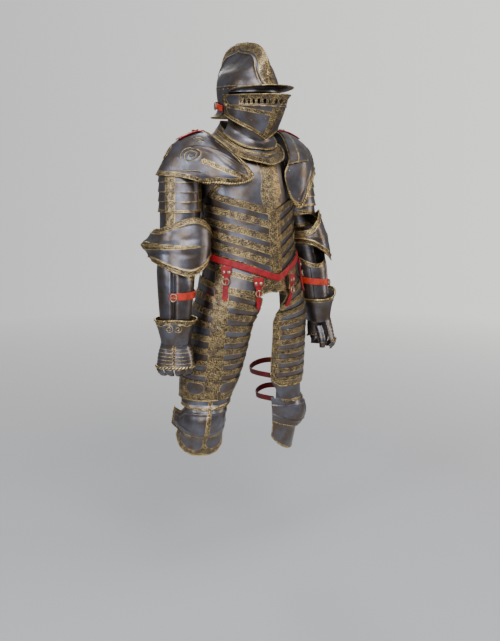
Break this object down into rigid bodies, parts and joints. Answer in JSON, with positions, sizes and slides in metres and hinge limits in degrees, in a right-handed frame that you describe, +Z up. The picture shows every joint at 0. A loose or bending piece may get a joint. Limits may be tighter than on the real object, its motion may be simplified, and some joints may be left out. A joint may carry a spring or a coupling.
{
  "type": "suit of plate armour",
  "caption": "Suit of field armour with combed helmet and strapped face plate, laminated breast and long tassets, etched gilt bands and red leather straps, standing as worn.",
  "frame": {"origin": "between the wearer's shoulders, on the middle line, 1.44 m above the soles", "axes": "+Z up; the wearer faces -Y; +X is the wearer's left"},
  "size_m": [0.7698, 0.3448, 1.4846],
  "materials": {
    "steel": "darkened steel with etched and gilt bands",
    "leather": "dyed crimson leather"
  },
  "bodies": {
    "root": {"breast_top": "steel", "breast_lame_1": "steel", "breast_lame_2": "steel", "breast_lame_3": "steel", "breast_lame_4": "steel", "breast_lame_5": "steel", "breast_lame_6": "steel", "back_top": "steel", "back_lame_1": "steel", "back_lame_2": "steel", "back_lame_3": "steel", "back_lame_4": "steel", "belt": "leather", "skirt_lame": "steel", "rump_lame": "steel", "left_tasset_1": "steel", "left_tasset_2": "steel", "left_tasset_3": "steel", "left_tasset_4": "steel", "left_tasset_strap": "leather", "left_thigh_strap": "leather", "left_knee_upper": "steel", "left_knee_cup": "steel", "left_knee_lower": "steel", "right_tasset_1": "steel", "right_tasset_2": "steel", "right_tasset_3": "steel", "right_tasset_4": "steel", "right_tasset_strap": "leather", "right_thigh_strap": "leather", "right_knee_upper": "steel", "right_knee_cup": "steel", "right_knee_lower": "steel", "left_shoulder": "steel", "left_arm_lames": "steel", "left_upper_arm": "steel", "left_lower_arm": "steel", "left_elbow": "steel", "left_cuff": "steel", "left_hand": "steel", "left_thumb": "steel", "left_shoulder_strap": "leather", "left_arm_strap": "leather", "right_shoulder": "steel", "right_arm_lames": "steel", "right_upper_arm": "steel", "right_lower_arm": "steel", "right_elbow": "steel", "right_cuff": "steel", "right_hand": "steel", "right_thumb": "steel", "right_shoulder_strap": "leather", "right_arm_strap": "leather", "collar": "steel", "helmet_skull": "steel", "helmet_peak": "steel", "face_plate": "steel", "throat_plate": "steel", "nape_strap": "leather"}
  },
  "joints": []
}
